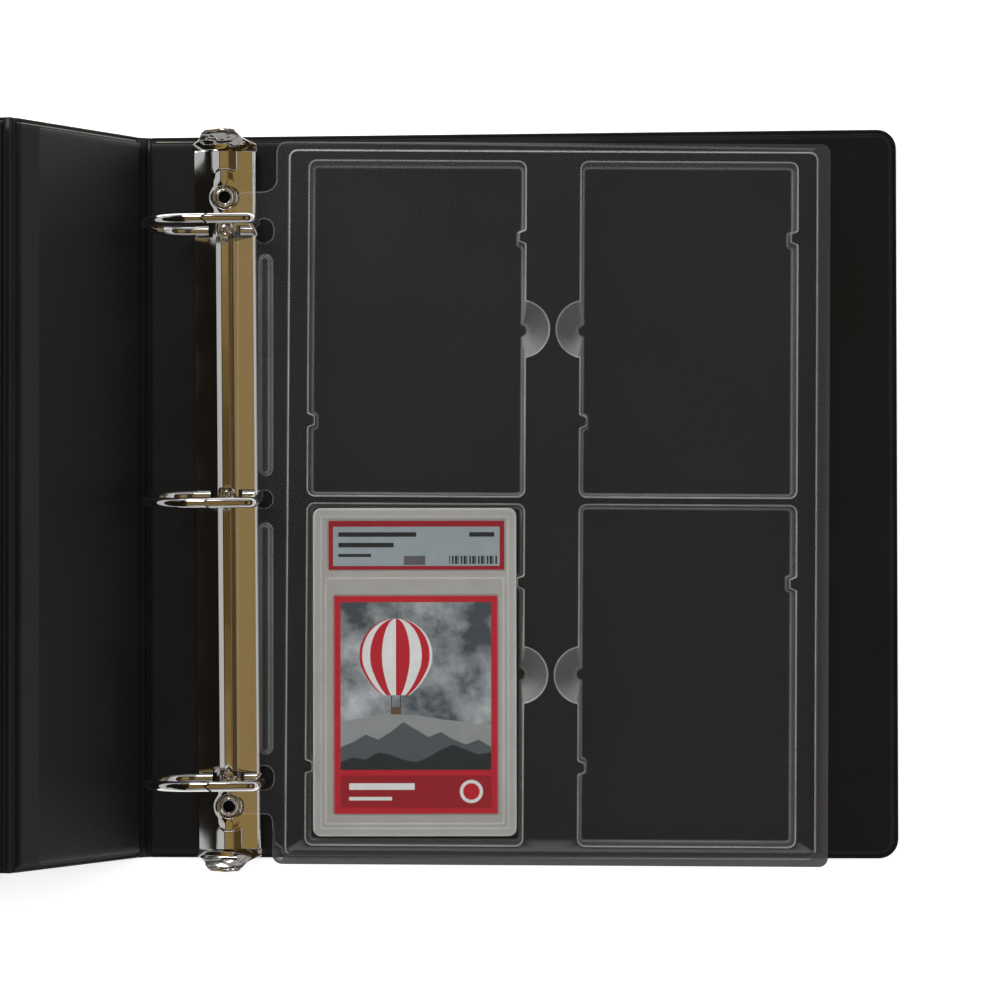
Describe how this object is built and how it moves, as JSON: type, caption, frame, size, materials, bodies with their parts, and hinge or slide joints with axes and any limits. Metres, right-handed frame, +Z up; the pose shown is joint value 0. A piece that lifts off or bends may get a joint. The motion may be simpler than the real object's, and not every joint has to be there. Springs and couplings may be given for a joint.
{
  "type": "trading card binder",
  "caption": "Open vinyl ring binder with a riveted D-ring mechanism and a clear formed page whose pockets hold graded card cases.",
  "frame": {"origin": "centre of the back cover's outer face, on the table", "axes": "+X from the spine to the back cover's free edge, +Y along the spine, +Z up"},
  "size_m": [0.6395, 0.297, 0.0645],
  "materials": {
    "vinyl": "grained, soft sheen",
    "board": "raw chipboard",
    "nickel": "polished nickel",
    "zinc": "plain zinc",
    "page_film": "clear gloss",
    "clear_case": "clear gloss",
    "card": "printed card",
    "label": "printed paper"
  },
  "bodies": {
    "back_cover": {"back_board": "board", "back_outer_vinyl": "vinyl", "back_inner_vinyl": "vinyl", "spine_hinge_strip": "vinyl", "ring_housing": "nickel", "top_rivet": "nickel", "bottom_rivet": "nickel", "top_rivet_cap": "nickel", "bottom_rivet_cap": "nickel", "top_lever_pin": "zinc", "bottom_lever_pin": "zinc"},
    "spine": {"spine_board": "board", "spine_outer_vinyl": "vinyl", "spine_inner_vinyl": "vinyl", "cover_hinge_strip": "vinyl"},
    "front_cover": {"front_board": "board", "front_outer_vinyl": "vinyl", "front_inner_vinyl": "vinyl"},
    "left_rings": {"left_rail": "zinc", "left_ring_top": "nickel", "left_ring_middle": "nickel", "left_ring_bottom": "nickel"},
    "right_rings": {"right_rail": "zinc", "right_ring_top": "nickel", "right_ring_middle": "nickel", "right_ring_bottom": "nickel"},
    "upper_lever": {"top_lever": "nickel"},
    "lower_lever": {"bottom_lever": "nickel"},
    "page": {"slab_page": "page_film"},
    "card_case": {"slab_front_shell": "clear_case", "slab_back_shell": "clear_case", "trading_card": "card", "slab_label": "label"}
  },
  "joints": [
    {"name": "spine_hinge", "type": "hinge", "parent": "back_cover", "child": "spine", "pos_m": [-0.15075, 0, 0.002], "axis": [0, 1, 0], "range_deg": [-55, 35], "deforming": ["spine_hinge_strip"]},
    {"name": "cover_hinge", "type": "hinge", "parent": "spine", "child": "front_cover", "pos_m": [-0.19377, 0, 0.06344], "axis": [0, 1, 0], "range_deg": [-23, 156.77], "deforming": ["cover_hinge_strip"]},
    {"name": "left_ring_swing", "type": "hinge", "parent": "back_cover", "child": "left_rings", "pos_m": [-0.12685, 0, 0.0056], "axis": [0, 1, 0], "range_deg": [-8, 0]},
    {"name": "right_ring_swing", "type": "hinge", "parent": "back_cover", "child": "right_rings", "pos_m": [-0.10605, 0, 0.0056], "axis": [0, -1, 0], "range_deg": [-8, 0]},
    {"name": "upper_lever_press", "type": "hinge", "parent": "back_cover", "child": "upper_lever", "pos_m": [-0.11645, 0.1321, 0.0064], "axis": [1, 0, 0], "range_deg": [-14, 0]},
    {"name": "lower_lever_press", "type": "hinge", "parent": "back_cover", "child": "lower_lever", "pos_m": [-0.11645, -0.1385, 0.0064], "axis": [-1, 0, 0], "range_deg": [-14, 0]},
    {"name": "page_swing", "type": "hinge", "parent": "back_cover", "child": "page", "pos_m": [-0.10895, 0, 0.0137], "axis": [0, 1, 0], "range_deg": [-22, 0]},
    {"name": "card_case_lift", "type": "slide", "parent": "page", "child": "card_case", "axis": [0, 0, -1], "range_m": [-0.012, 0]}
  ],
  "couplings": [
    {"joint": "right_ring_swing", "follows": "left_ring_swing", "ratio": 1},
    {"joint": "upper_lever_press", "follows": "left_ring_swing", "ratio": 1.75},
    {"joint": "lower_lever_press", "follows": "left_ring_swing", "ratio": 1.75}
  ]
}
